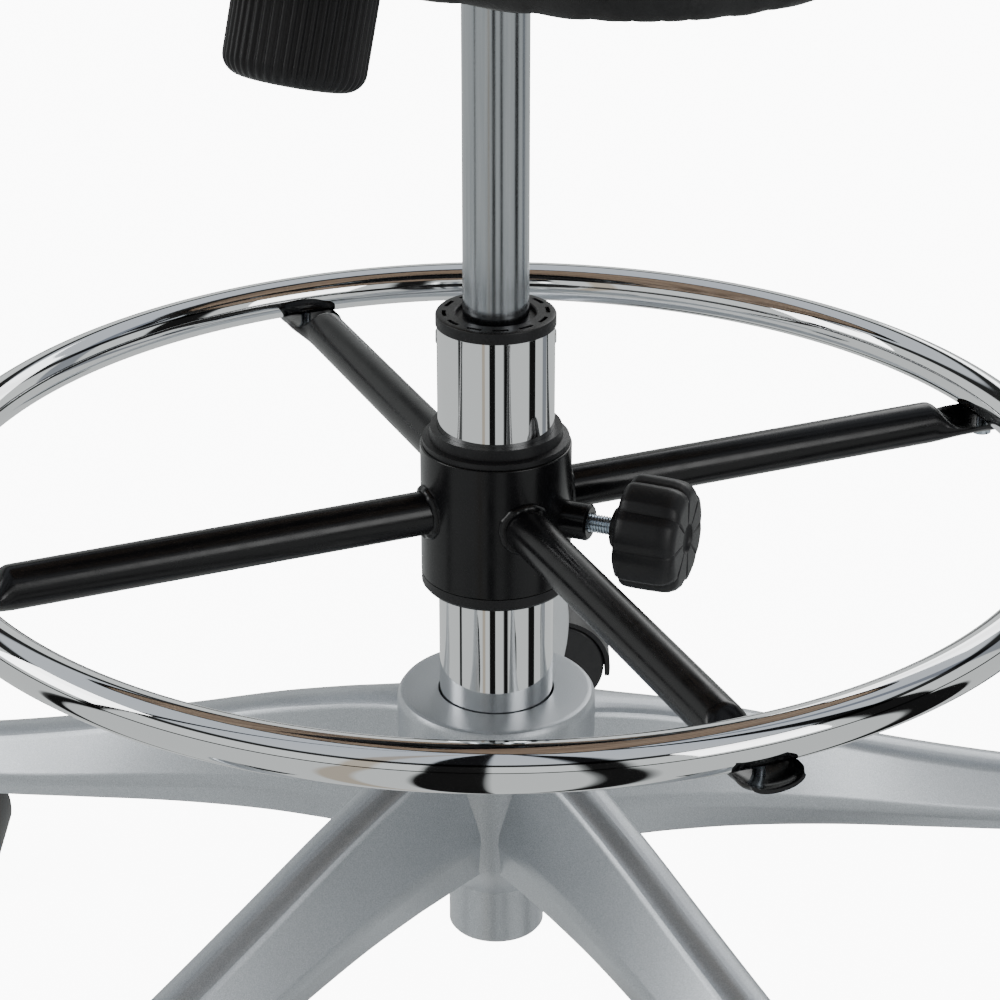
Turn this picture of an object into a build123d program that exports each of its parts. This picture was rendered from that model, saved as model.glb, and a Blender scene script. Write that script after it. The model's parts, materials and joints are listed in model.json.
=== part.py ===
from build123d import *
import os
from math import atan2, cos, radians, sin, sqrt

# A drafting chair: a five-leg base on twin-wheel casters, a chrome column with a gas lift, a foot ring
# that slides on the column, a tilting seat on a steel mechanism and a backrest on a flat steel bar.
# Millimetres. The floor is z = 0, the column stands on the z axis, and the chair faces -Y.

# ---------- driving dimensions ----------
FIT = 0.07                       # radial clearance of every running fit
LEG_ANGLES = [54, 126, 198, 270, 342]
CASTER_RADIUS = 310              # column axis to caster stem
CASTER_TRAIL = 13                # stem axis to wheel axle
CASTER_HEADING = 40              # direction in which every caster trails
WHEEL_R = 25
STEM_BOTTOM, STEM_TOP = 47.6, 78
LEG_TIP_Z = 60                   # underside of the leg tip
CREASE_SHARE = 0.3               # how far up a leg's side its crease runs
HUB_R, HUB_TOP, HUB_BOTTOM = 44, 170, 49

TUBE_R, TUBE_TOP, TUBE_WALL = 25, 343, 1.5
TUBE_FOOT_R, TAPER_TOP = 18.4, 166
LIFT_R, LIFT_BORE_R = 14, 11
LIFT_BOTTOM, LIFT_TOP = 165, 532
SOCKET_Z = 489                   # where the lift starts to taper into the mechanism
ROD_R, ROD_END_R, ROD_TOP = 5, 4, 325
CAP_TOP = 348

RING_Z, RING_R, RING_TUBE_R = 270, 243, 9.5
SPOKE_Z, SPOKE_R = 261.2, 9.5
SADDLE_Z = 254.4                 # underside of the pressed end of a spoke
SPOKE_ANGLES = [63, 153, 243, 333]
COLLAR_R, COLLAR_BORE_R = 32.5, 30
COLLAR_BOTTOM, COLLAR_TOP = 229, 289
CLAMP_ANGLE, CLAMP_Z = 18, 258

PIVOT_Y, PIVOT_Z, PIVOT_R = -40, 530, 6
HOUSING_HALF, HOUSING_WALL = 48, 3
KNOB_FOOT = (0, -118, 474)       # centre of the tension knob's lower end
KNOB_LEAN = 16                   # degrees that the knob's lower end leans forward
KNOB_R, KNOB_LENGTH = 27.3, 40
LEVER_X, LEVER_Z = -46.5, 536    # hinge of the height lever
GRIP_Z = 510                     # middle of the lever's grip

SEAT_FRONT, SEAT_HALF, SEAT_BACK = 227.7, 242.4, 216
SEAT_CORNER, SEAT_BOW_R = 73.8, 737
BACK_END_CORNER, BACK_END_BOW_R = 72, 1400
SEAT_EDGE_Z, SEAT_TOP_Z = 549, 626
BOARD_Z, BOARD_T, BOARD_INSET = 563, 12, 14
PLATE_T = 3

RECLINE = 8                      # degrees that the backrest leans back
BACK_FOOT = (0, 285, 557)        # where the upright of the back bar would meet its foot
BAR_HALF, BAR_T, BAR_LENGTH, BAR_BEND = 30, 6, 350, 60
BACK_HALF, BACK_LOW, BACK_HIGH, BACK_CORNER = 215, 130, 530, 75
BACK_FRONT, BACK_SPLIT = -78, -27


# ---------- helpers ----------
def ring(r_out, r_in, z0, z1):
    """A round sleeve about the z axis."""
    body = Pos(0, 0, z0) * extrude(Circle(r_out), z1 - z0)
    return body - Pos(0, 0, z0 - 1) * extrude(Circle(r_in), z1 - z0 + 2)


def disc(r, z0, z1):
    return Pos(0, 0, z0) * extrude(Circle(r), z1 - z0)


def lathe(points):
    """A closed outline of (radius, height) points turned about the z axis."""
    return revolve(Plane.XZ * make_face(Polyline(*points, close=True)), Axis.Z)


def block(x0, x1, y0, y1, z0, z1):
    return Pos((x0 + x1) / 2, (y0 + y1) / 2, (z0 + z1) / 2) * Box(x1 - x0, y1 - y0, z1 - z0)


def side_profile(points, half):
    """A closed outline of (y, z) points, as wide as 2 * half along x."""
    face = Plane.YZ * make_face(Polyline(*points, close=True))
    return extrude(face, half, both=True)


def turned(angle, shape):
    return Rot(0, 0, angle) * shape


def lying(shape):
    """Lays a shape that was built about z along +x."""
    return Rot(0, 90, 0) * shape


def write(name, *solids):
    shape = solids[0] if len(solids) == 1 else Compound(list(solids))
    export_step(shape, f"parts/{name}.step")


# ---------- base ----------
def leg_section(r, top, low, w_top, w_crease, w_low):
    """One cross-section of a leg: half widths at the top, at the crease and at the underside."""
    crease = low + CREASE_SHARE * (top - low)
    half = [(w_low, low), (w_crease, crease), (w_top + 1.5, top - 2.2), (w_top - 1.5, top)]
    outline = half + [(-y, z) for y, z in reversed(half)]
    return Plane(origin=(r, 0, 0), x_dir=(0, 1, 0), z_dir=(1, 0, 0)) * make_face(Polyline(*outline, close=True))


def leg():
    """One leg along +x: a narrow top, flanks that spread to a crease, and a skirt that draws in."""
    # radius, top, underside, half width of the top, of the crease and of the underside
    arm = [
        (20, 163.5, 96.0, 8.0, 23.0, 19.0), (44, 159.5, 95.4, 8.0, 21.6, 18.5), (70, 154.0, 94.8, 7.8, 21.0, 18.3),
        (110, 143.2, 92.4, 7.6, 21.2, 18.6), (155, 128.2, 87.4, 7.4, 22.3, 20.2), (205, 112.2, 79.2, 7.2, 23.2, 21.5),
        (250, 99.2, 70.4, 7.0, 22.0, 20.3), (285, 90.4, 64.0, 6.8, 19.4, 17.4), (310, 85.0, 60.4, 6.6, 16.8, 14.2),
    ]
    tip = [arm[-1], (320, 82.4, 60.0, 5.4, 13.8, 11.0), (327, 77.0, 61.5, 3.0, 8.0, 6.0)]
    return loft([leg_section(*row) for row in arm]) + loft([leg_section(*row) for row in tip], ruled=True)


def column_seat(extra):
    """The tapered space that the foot of the column fills, wider by extra."""
    grow = TUBE_R + extra
    return lathe([(0, HUB_BOTTOM - 1), (TUBE_FOOT_R + extra, HUB_BOTTOM - 1), (TUBE_FOOT_R + extra, HUB_BOTTOM),
                  (grow, TAPER_TOP), (grow, HUB_TOP + 1), (0, HUB_TOP + 1)])


def base_star():
    neck = 118
    barrel_r, barrel_top = 21.5, 76
    hub = lathe([(0, HUB_BOTTOM), (barrel_r, HUB_BOTTOM), (barrel_r, barrel_top), (40, 97), (42, neck),
                 (HUB_R, 150), (HUB_R, HUB_TOP - 4), (HUB_R - 1.2, HUB_TOP - 1.2), (HUB_R - 4, HUB_TOP),
                 (0, HUB_TOP)])
    star = hub
    for angle in LEG_ANGLES:
        star = star + turned(angle, leg())
    socket_r = 5.5 + FIT
    for angle in LEG_ANGLES:
        socket = Pos(CASTER_RADIUS, 0, 0) * disc(socket_r, LEG_TIP_Z - 5, STEM_TOP + 0.3)
        star = star - turned(angle, socket)
    star = star - column_seat(0.05)
    return star - disc(TUBE_R + 0.5, HUB_TOP - 5, HUB_TOP + 1)


def column_outer_tube():
    floor_top = HUB_BOTTOM + 2.5
    foot_in = TUBE_FOOT_R - TUBE_WALL
    bore_r = TUBE_R - TUBE_WALL
    return lathe([(ROD_END_R + FIT, HUB_BOTTOM), (TUBE_FOOT_R, HUB_BOTTOM), (TUBE_R, TAPER_TOP),
                  (TUBE_R, TUBE_TOP), (bore_r, TUBE_TOP), (bore_r, TAPER_TOP), (foot_in, floor_top),
                  (ROD_END_R + FIT, floor_top)])


def column_cap():
    """The black ring that closes the top of the column, with a circle of slots in its face."""
    cap = ring(TUBE_R + 0.5, 17, TUBE_TOP, CAP_TOP)
    cap = chamfer(cap.edges().filter_by(GeomType.CIRCLE).sort_by(SortBy.RADIUS)[-2:], 0.6)
    slot = block(20, 23.4, -2.6, 2.6, CAP_TOP - 1.5, CAP_TOP + 1)
    for i in range(12):
        cap = cap - turned(i * 30, slot)
    return cap


def column_guide_bush():
    bore = LIFT_R + FIT
    outer = TUBE_R - TUBE_WALL - 0.02
    return lathe([(bore, 222), (outer, 222), (outer, TUBE_TOP - 0.1), (16.9, TUBE_TOP - 0.1), (16.9, 346),
                  (bore, 346)])


def thrust_bearing():
    return ring(14, ROD_END_R + 0.3, HUB_BOTTOM + 2.5, 57)


# ---------- gas lift ----------
def piston_rod():
    return disc(ROD_END_R, 45.5, 58) + disc(ROD_R, 57.5, ROD_TOP) + disc(12, 57.1, 60)


def piston_head():
    return ring(LIFT_BORE_R - FIT, ROD_R, ROD_TOP - 15, ROD_TOP)


def retaining_clip():
    return ring(9, ROD_END_R, 47.2, 48.6)


def lift_buffer():
    return ring(11, ROD_R, 60, 80)


def gas_cylinder():
    """The lift's outer wall, which tapers where it seats in the mechanism."""
    crown_r = LIFT_R - 0.8
    outer = lathe([(0, LIFT_BOTTOM), (LIFT_R, LIFT_BOTTOM), (LIFT_R, SOCKET_Z), (crown_r, LIFT_TOP),
                   (0, LIFT_TOP)])
    outer = outer - disc(LIFT_BORE_R, LIFT_BOTTOM - 1, 515)
    return outer - disc(4 + FIT, 514, LIFT_TOP + 1)


def cylinder_gland():
    return ring(LIFT_BORE_R, ROD_R + FIT, LIFT_BOTTOM, LIFT_BOTTOM + 15)


def valve_pin():
    return disc(4, 516, 536) + disc(2, 535.9, 537.5)


# ---------- foot ring ----------
def foot_ring_tube():
    """A hollow hoop, made as two half turns of tube, with a screw hole over each saddle."""
    section = Pos(RING_R, 0, 0) * (Circle(RING_TUBE_R) - Circle(RING_TUBE_R - 1.5))
    half_turn = revolve(Plane.XZ * section, Axis.Z, 180)
    halves = []
    for start in (SPOKE_ANGLES[0] - 45, SPOKE_ANGLES[0] + 135):
        half = Pos(0, 0, RING_Z) * turned(start, half_turn)
        for offset in (45, 135):
            hole = Pos(RING_R, 0, 0) * disc(2.5, RING_Z - RING_TUBE_R - 3, RING_Z)
            half = half - turned(start + offset, hole)
        halves.append(half)
    return halves[0] + halves[1]


def spoke():
    """A tube along +x whose outer end is pressed into a shallow saddle under the ring."""
    tube_end = 224
    wall = 1.5
    tube = Pos(28, 0, SPOKE_Z) * lying(extrude(Circle(SPOKE_R), tube_end - 28))
    low = SPOKE_Z - SPOKE_R
    side = [(214, low), (tube_end, low), (234, SADDLE_Z), (251, SADDLE_Z), (258, SADDLE_Z + 2), (258, SPOKE_Z),
            (214, SPOKE_Z)]
    saddle = extrude(Plane.XZ * make_face(Polyline(*side, close=True)), 13.5, both=True)
    saddle = fillet(saddle.edges().filter_by(Axis.Z), 10)
    bore = Pos(20, 0, SPOKE_Z) * lying(extrude(Circle(SPOKE_R - wall), tube_end - 30))
    recess = Pos(RING_R, 0, 0) * disc(2.55, low - 1, SPOKE_Z + 2)
    return tube + saddle, bore + recess


def foot_ring_spider():
    """The black weldment: collar, four spokes and the nut for the clamp screw."""
    body, bore = spoke()
    spider = disc(COLLAR_R, COLLAR_BOTTOM, COLLAR_TOP)
    for angle in SPOKE_ANGLES:
        spider = spider + turned(angle, body)
    nut = Pos(28, 0, CLAMP_Z) * lying(extrude(Circle(8), 15.6))
    spider = spider + turned(CLAMP_ANGLE, nut)
    for angle in SPOKE_ANGLES:
        spider = spider - turned(angle, bore)
    screw_hole = Pos(20, 0, CLAMP_Z) * lying(extrude(Circle(4 + FIT), 30))
    spider = spider - turned(CLAMP_ANGLE, screw_hole)
    spider = spider - disc(COLLAR_BORE_R, COLLAR_BOTTOM - 1, COLLAR_TOP + 1)
    return spider - Pos(0, 0, RING_Z) * Torus(RING_R, RING_TUBE_R + 0.05)


def ring_screws():
    """Four pan-head screws that hold the ring to its saddles."""
    screw = disc(4.6, SADDLE_Z - 2.6, SADDLE_Z) + disc(2.45, SADDLE_Z - 0.1, RING_Z - 4)
    return [turned(angle, Pos(RING_R, 0, 0) * screw) for angle in SPOKE_ANGLES]


def collar_top_bush():
    bore = TUBE_R + FIT
    skirt_r = COLLAR_BORE_R - FIT
    return lathe([(bore, 264), (skirt_r, 264), (skirt_r, COLLAR_TOP + 0.1), (31.5, COLLAR_TOP + 0.1),
                  (31.5, 291.5), (28.6, 292), (28.2, 296.6), (bore, 296.6)])


def collar_bottom_bush():
    bore = TUBE_R + FIT
    skirt_r = COLLAR_BORE_R - FIT
    rim_r, foot = COLLAR_R - 0.1, COLLAR_BOTTOM - 5.7
    return lathe([(bore, foot), (rim_r - 1.1, foot), (rim_r, foot + 1.4), (rim_r, COLLAR_BOTTOM - 0.1),
                  (skirt_r, COLLAR_BOTTOM - 0.1), (skirt_r, 249), (bore, 249)])


def clamp_screw():
    screw = Pos(TUBE_R + 0.1, 0, CLAMP_Z) * lying(extrude(Circle(4), 45))
    return turned(CLAMP_ANGLE, screw)


def lobed_knob(radius, thickness, lobes):
    """A grip about +z from z = 0, with rounded valleys between its lobes."""
    grip = extrude(Circle(radius), thickness)
    grip = fillet(grip.edges().filter_by(GeomType.CIRCLE), 3)
    for i in range(lobes):
        valley = Pos(radius + 4.2, 0, -1) * extrude(Circle(6), thickness + 2)
        grip = grip - turned((i + 0.5) * 360 / lobes, valley)
    return grip


def clamp_knob():
    knob = lobed_knob(24.3, 27, 8) + Pos(0, 0, -5.5) * extrude(Circle(9), 6)
    knob = knob - Pos(0, 0, -6) * extrude(Circle(4), 16.1)
    return turned(CLAMP_ANGLE, Pos(60.1, 0, CLAMP_Z) * lying(knob))


# ---------- mechanism ----------
def housing_outline(inset):
    slope = sin(radians(KNOB_LEAN)) / cos(radians(KNOB_LEAN))
    front, nose_end, nose_low = -142, -75, 505.3
    nose_high = nose_low + (nose_end - front) * slope
    return [(front + inset, nose_high + inset), (front + inset, 548), (-10, 546), (80 - inset, 524),
            (80 - inset, 515 + inset), (45, nose_low + inset), (nose_end, nose_low + inset)]


def knob_axis():
    """The tension knob's frame: its origin at the knob's lower end, +z up along its bolt."""
    return Pos(*KNOB_FOOT) * Rot(-KNOB_LEAN, 0, 0)


def mechanism_housing():
    """The pressed steel tray that seats on the gas lift and carries the tilt pivot."""
    tray = side_profile(housing_outline(0), HOUSING_HALF)
    inner = side_profile(housing_outline(HOUSING_WALL), HOUSING_HALF - HOUSING_WALL)
    lid = block(-45, 45, -139, 77, 540, 560)
    lid = lid + block(-45, 45, -10, 77, 520, 560)
    tray = tray - inner - lid
    crown_r = LIFT_R - 0.8
    socket = ring(22, 1, SOCKET_Z - 1, 524)
    taper = lathe([(0, SOCKET_Z - 2), (LIFT_R, SOCKET_Z - 2), (LIFT_R, SOCKET_Z), (crown_r, LIFT_TOP),
                   (crown_r, 560), (0, 560)])
    tray = tray + socket - taper
    pin_hole = lying(extrude(Circle(PIVOT_R), 140))
    tray = tray - Pos(-70, PIVOT_Y, PIVOT_Z) * pin_hole
    lever_slot = block(-50, -44, -7, 7, 530, 543)
    bolt_hole = knob_axis() * disc(5.2, 20, 80)
    return tray - lever_slot - bolt_hole


def tilt_pivot_pin():
    return Pos(-58, PIVOT_Y, PIVOT_Z) * lying(extrude(Circle(PIVOT_R), 116))


def tilt_springs():
    """Two close-wound torsion springs on the pivot pin, each coil a ring."""
    wire, gap = 2.2, 4.6
    coils = []
    for start in (-40, 13):
        for i in range(6):
            coils.append(Pos(start + 2.3 + i * gap, PIVOT_Y, PIVOT_Z) * lying(Torus(10.4, wire)))
    return coils


def tension_knob():
    """A deep ribbed cup with a rounded foot."""
    knob = extrude(Circle(KNOB_R), KNOB_LENGTH)
    foot = knob.edges().filter_by(GeomType.CIRCLE).sort_by(Axis.Z)[0]
    knob = fillet(foot, 8)
    rib_count = 36
    groove = Pos(KNOB_R + 0.5, 0, 6) * extrude(Circle(1.2), KNOB_LENGTH)
    for i in range(rib_count):
        knob = knob - turned(i * 360 / rib_count, groove)
    knob = knob - disc(5, 8, KNOB_LENGTH + 1)
    return knob_axis() * knob


def tension_bolt():
    return knob_axis() * disc(5, 8, 64)


def height_lever():
    """A flat arm over the valve pin, the eye that it turns on and a round rod that runs out to the grip."""
    arm = block(LEVER_X, 6, -6, 6, 537.8, 540.8)
    eye = Pos(LEVER_X, -6, LEVER_Z) * Rot(-90, 0, 0) * extrude(Circle(4.8), 12)
    path = FilletPolyline((-44, 0, LEVER_Z), (-110, 0, LEVER_Z), (-150, 0, GRIP_Z), (-236, 0, GRIP_Z), radius=25)
    section = Plane(origin=path @ 0, z_dir=path % 0) * Circle(4)
    return sweep(section, path=path) + eye + arm


def lever_grip():
    """A flat plastic paddle on the end of the lever."""
    paddle = block(-268, -206, -15, 15, GRIP_Z - 6, GRIP_Z + 6)
    paddle = fillet(paddle.edges().filter_by(Axis.Z), 12)
    paddle = fillet(paddle.faces().sort_by(Axis.Z)[-1].edges(), 3)
    paddle = fillet(paddle.faces().sort_by(Axis.Z)[0].edges(), 3)
    return paddle - Pos(-237, 0, GRIP_Z) * lying(extrude(Circle(4), 40))


# ---------- seat ----------
def bowed_end(end_y, half, corner, bow_r, side):
    """One bowed end of the seat: an arc between two corner arcs, all tangent; side is -1 front, 1 back."""
    bow_centre = end_y - side * bow_r
    corner_x = half - corner
    reach = sqrt((bow_r - corner) ** 2 - corner_x ** 2)
    corner_y = bow_centre + side * reach
    join_x = corner_x * bow_r / (bow_r - corner)
    join_y = bow_centre + (corner_y - bow_centre) * bow_r / (bow_r - corner)
    middle = atan2(reach, corner_x) / 2
    mid_x, mid_y = corner_x + corner * cos(middle), corner_y + side * corner * sin(middle)
    arcs = [ThreePointArc((-join_x, join_y), (0, end_y), (join_x, join_y))]
    for hand in (-1, 1):
        arcs.append(ThreePointArc((hand * join_x, join_y), (hand * mid_x, mid_y), (hand * half, corner_y)))
    return arcs, corner_y


def seat_plan(inset):
    """The seat's outline: bowed front and back edges, round corners and straight sides."""
    half = SEAT_HALF - inset
    front, front_y = bowed_end(-SEAT_FRONT + inset, half, SEAT_CORNER - inset, SEAT_BOW_R - inset, -1)
    back, back_y = bowed_end(SEAT_BACK - inset, half, BACK_END_CORNER - inset, BACK_END_BOW_R - inset, 1)
    sides = [Line((hand * half, front_y), (hand * half, back_y)) for hand in (-1, 1)]
    return make_face(Curve() + (front + back + sides))


ARM_HOLES = [(x, y) for x in (-195, 195) for y in (30, 130)]
PLATE_BOLTS = [(x, y) for x in (-55, 55) for y in (-120, 60)]
BAR_BOLTS = [(-17, 105), (17, 105), (0, 150)]


def seat_board():
    board = Pos(0, 0, BOARD_Z) * extrude(seat_plan(BOARD_INSET), BOARD_T)
    for x, y in ARM_HOLES:
        board = board - Pos(x, y, 0) * disc(3.3, BOARD_Z - 1, BOARD_Z + BOARD_T + 1)
    for x, y in PLATE_BOLTS + BAR_BOLTS:
        board = board - Pos(x, y, 0) * disc(5, BOARD_Z - 1, BOARD_Z + BOARD_T + 1)
    return board


def seat_cushion():
    """Foam and cover as one closed form, with the pocket that the board sits in."""
    body = Pos(0, 0, SEAT_EDGE_Z) * extrude(seat_plan(0), SEAT_TOP_Z - SEAT_EDGE_Z)
    top_edges = body.faces().sort_by(Axis.Z)[-1].edges()
    body = fillet(top_edges, 22)
    pocket_top = BOARD_Z + BOARD_T + 1.6
    pocket = Pos(0, 0, SEAT_EDGE_Z - 1) * extrude(seat_plan(BOARD_INSET - 0.3), pocket_top - SEAT_EDGE_Z + 1)
    bar_notch = block(-BAR_HALF - 2, BAR_HALF + 2, 190, 230, SEAT_EDGE_Z - 1, BACK_FOOT[2] + BAR_T / 2 + 0.5)
    return body - pocket - bar_notch


def seat_plate():
    """The pressed plate under the board: it turns on the pivot pin."""
    under = BOARD_Z - PLATE_T
    plate = block(-70, 70, -150, 120, under, BOARD_Z)
    plate = fillet(plate.edges().filter_by(Axis.Z), 12)
    plate = plate - disc(24, under - 1, BOARD_Z + 1)
    ear_outline = [(PIVOT_Y - 14, 522), (PIVOT_Y + 14, 522), (PIVOT_Y + 34, under + 0.5),
                   (PIVOT_Y - 34, under + 0.5)]
    for x in (-51.5, 51.5):
        plate = plate + Pos(x, 0, 0) * side_profile(ear_outline, 1.5)
    plate = plate - Pos(-70, PIVOT_Y, PIVOT_Z) * lying(extrude(Circle(PIVOT_R + FIT), 140))
    for x, y in PLATE_BOLTS + BAR_BOLTS[:2]:
        plate = plate - Pos(x, y, 0) * disc(4.1, under - 1, BOARD_Z + 1)
    return plate


def hex_bolt(x, y, under, top):
    """A hexagon bolt that points up, its head below the height under."""
    head = Pos(0, 0, under - 5) * extrude(RegularPolygon(6.4, 6), 5)
    return Pos(x, y, 0) * (head + disc(4, under - 0.1, top))


def seat_bolts():
    under = BOARD_Z - PLATE_T
    top = BOARD_Z + BOARD_T - 0.5
    plate_bolts = [hex_bolt(x, y, under, top) for x, y in PLATE_BOLTS]
    return plate_bolts + [hex_bolt(x, y, under - BAR_T, top) for x, y in BAR_BOLTS]


def seat_tee_nuts():
    """Flanged nuts let into the board from above, one over each bolt."""
    nuts = []
    for x, y in PLATE_BOLTS + BAR_BOLTS:
        flange = BOARD_Z + BOARD_T
        nuts.append(Pos(x, y, 0) * (ring(9, 4, flange, flange + 1.2) + ring(5, 4, BOARD_Z + 2, flange + 0.1)))
    return nuts


# ---------- back ----------
def back_frame():
    """The reclined frame that every piece of the back is built in: +z up the bar, +y to the rear."""
    return Pos(*BACK_FOOT) * Rot(-RECLINE, 0, 0)


def back_bar():
    """A flat bar that runs back under the seat, bends up and carries the backrest."""
    lean = radians(RECLINE)
    foot_y, foot_z = BACK_FOOT[1], BACK_FOOT[2]
    top = (foot_y + BAR_LENGTH * sin(lean), foot_z + BAR_LENGTH * cos(lean))
    line = FilletPolyline((90, foot_z), (foot_y, foot_z), top, radius=BAR_BEND)
    bar = extrude(Plane.YZ * trace(line, BAR_T), BAR_HALF, both=True)
    for x, y in BAR_BOLTS:
        bar = bar - Pos(x, y, 0) * disc(4.1, foot_z - 5, foot_z + 5)
    return bar


BACK_BOLTS = [(x, z) for x in (-38, 38) for z in (200, 280)]


def back_bracket():
    """The sleeve that slides on the bar, with a boss for the knob's screw."""
    sleeve = block(-46, 46, -14, 9, 185, 295)
    sleeve = fillet(sleeve.edges().filter_by(Axis.Y), 10)
    sleeve = sleeve + Pos(0, 8, 240) * Rot(-90, 0, 0) * extrude(Circle(11), 10)
    for x, z in BACK_BOLTS:
        sleeve = sleeve - Pos(x, -20, z) * Rot(-90, 0, 0) * extrude(Circle(3.05), 40)
    gap = 0.08
    sleeve = sleeve - block(-BAR_HALF - gap, BAR_HALF + gap, -3 - gap, 3 + gap, 180, 300)
    return back_frame() * (sleeve - Pos(0, 0, 240) * Rot(-90, 0, 0) * extrude(Circle(4 + FIT), 30))


def back_plan(inset, y0, y1):
    half = BACK_HALF - inset
    tall = BACK_HIGH - BACK_LOW - 2 * inset
    plan = RectangleRounded(2 * half, tall, BACK_CORNER - inset)
    mid = (BACK_HIGH + BACK_LOW) / 2
    return Pos(0, y1, mid) * Rot(90, 0, 0) * extrude(plan, y1 - y0)


def back_board():
    board = back_plan(14, BACK_SPLIT + 1, -14)
    for x, z in BACK_BOLTS:
        board = board - Pos(x, -30, z) * Rot(-90, 0, 0) * extrude(Circle(3.1), 30)
    return back_frame() * board


def back_cushion():
    pad = back_plan(0, BACK_FRONT, BACK_SPLIT - 0.3)
    front_edges = pad.faces().sort_by(Axis.Y)[0].edges()
    return back_frame() * fillet(front_edges, 20)


def back_cover():
    """The moulded shell over the rear of the board, with a window for the bracket."""
    shell = back_plan(4, BACK_SPLIT, -10)
    shell = fillet(shell.faces().sort_by(Axis.Y)[-1].edges(), 3)
    shell = shell - back_plan(13.7, BACK_SPLIT - 1, -14)
    return back_frame() * (shell - block(-48, 48, -30, 5, 183, 297))


def back_bolts():
    bolts = []
    for x, z in BACK_BOLTS:
        bolt = extrude(Circle(3), 33.1) + Pos(0, 0, 33) * extrude(RegularPolygon(5, 6), 4)
        bolts.append(back_frame() * Pos(x, -24, z) * Rot(-90, 0, 0) * bolt)
    return bolts


def back_knob_screw():
    return back_frame() * Pos(0, 3.1, 240) * Rot(-90, 0, 0) * extrude(Circle(4), 30)


def back_knob():
    knob = lobed_knob(20, 22, 8) - Pos(0, 0, -1) * extrude(Circle(4), 13.1)
    return back_frame() * Pos(0, 21, 240) * Rot(-90, 0, 0) * knob


# ---------- casters ----------
def at_caster(angle, shape):
    """Moves a shape from the stem's own axis to a leg tip, trailing in the common direction."""
    x, y = CASTER_RADIUS * cos(radians(angle)), CASTER_RADIUS * sin(radians(angle))
    return Pos(x, y, 0) * Rot(0, 0, CASTER_HEADING) * shape


def across(r, y0, y1):
    """A round bar along y through the wheel axle."""
    return Pos(CASTER_TRAIL, y0, WHEEL_R) * Rot(-90, 0, 0) * extrude(Circle(r), y1 - y0)


def caster_hood():
    """The web between the wheels, the hood over them and the boss that takes the stem."""
    hood = across(28.5, -22.5, 22.5) - across(26, -23.5, 23.5)
    hood = hood - block(-40, 80, -30, 30, -10, 20)
    web = across(23, -3.5, 3.5) + across(27, -3.5, 3.5) - block(-40, 80, -30, 30, -10, 12)
    boss = disc(9.5, 34, 59.5)
    clear = across(26, 3.6, 22.4) + across(26, -22.4, -3.6)
    hood = hood + web + (boss - clear)
    return hood - across(3, -30, 30) - disc(5.5, STEM_BOTTOM, 61)


def caster_stem():
    return disc(5.5, STEM_BOTTOM, STEM_TOP)


def caster_axle():
    return across(3, -21.5, 21.5)


def caster_wheels():
    wheels = []
    for y0, y1 in ((-21.7, -4.2), (4.2, 21.7)):
        wheel = across(WHEEL_R, y0, y1)
        wheel = fillet(wheel.edges().filter_by(GeomType.CIRCLE), 2)
        wheels.append(wheel - across(3 + FIT, y0 - 1, y1 + 1))
    return wheels


# ---------- output ----------
os.makedirs("parts", exist_ok=True)

write("base_star", base_star())
write("column_outer_tube", column_outer_tube())
write("column_cap", column_cap())
write("column_guide_bush", column_guide_bush())
write("thrust_bearing", thrust_bearing())
write("piston_rod", piston_rod())
write("piston_head", piston_head())
write("retaining_clip", retaining_clip())
write("lift_buffer", lift_buffer())
write("gas_cylinder", gas_cylinder())
write("cylinder_gland", cylinder_gland())
write("valve_pin", valve_pin())
write("foot_ring_tube", foot_ring_tube())
write("foot_ring_spider", foot_ring_spider())
write("ring_screws", *ring_screws())
write("collar_top_bush", collar_top_bush())
write("collar_bottom_bush", collar_bottom_bush())
write("clamp_screw", clamp_screw())
write("clamp_knob", clamp_knob())
write("mechanism_housing", mechanism_housing())
write("tilt_pivot_pin", tilt_pivot_pin())
write("tilt_springs", *tilt_springs())
write("tension_knob", tension_knob())
write("tension_bolt", tension_bolt())
write("height_lever", height_lever())
write("lever_grip", lever_grip())
write("seat_plate", seat_plate())
write("seat_board", seat_board())
write("seat_cushion", seat_cushion())
write("seat_bolts", *seat_bolts())
write("seat_tee_nuts", *seat_tee_nuts())
write("back_bar", back_bar())
write("back_bracket", back_bracket())
write("back_board", back_board())
write("back_cushion", back_cushion())
write("back_cover", back_cover())
write("back_bolts", *back_bolts())
write("back_knob_screw", back_knob_screw())
write("back_knob", back_knob())
for number, angle in enumerate(LEG_ANGLES, start=1):
    write(f"caster_hood_{number}", at_caster(angle, caster_hood()))
    write(f"caster_stem_{number}", at_caster(angle, caster_stem()))
    write(f"caster_axle_{number}", at_caster(angle, caster_axle()))
    write(f"caster_wheels_{number}", *[at_caster(angle, wheel) for wheel in caster_wheels()])
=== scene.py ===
# %% [markdown]
# # A drafting chair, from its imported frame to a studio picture
# The frame holds every CAD piece at its real size. This notebook gives each piece its look: it repaints
# the CAD pieces whose shape is already right and models the others again with finer meshes.

# %% Load the frame
import json
import math
import bmesh
import bpy
from mathutils import Matrix, Vector, noise


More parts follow.
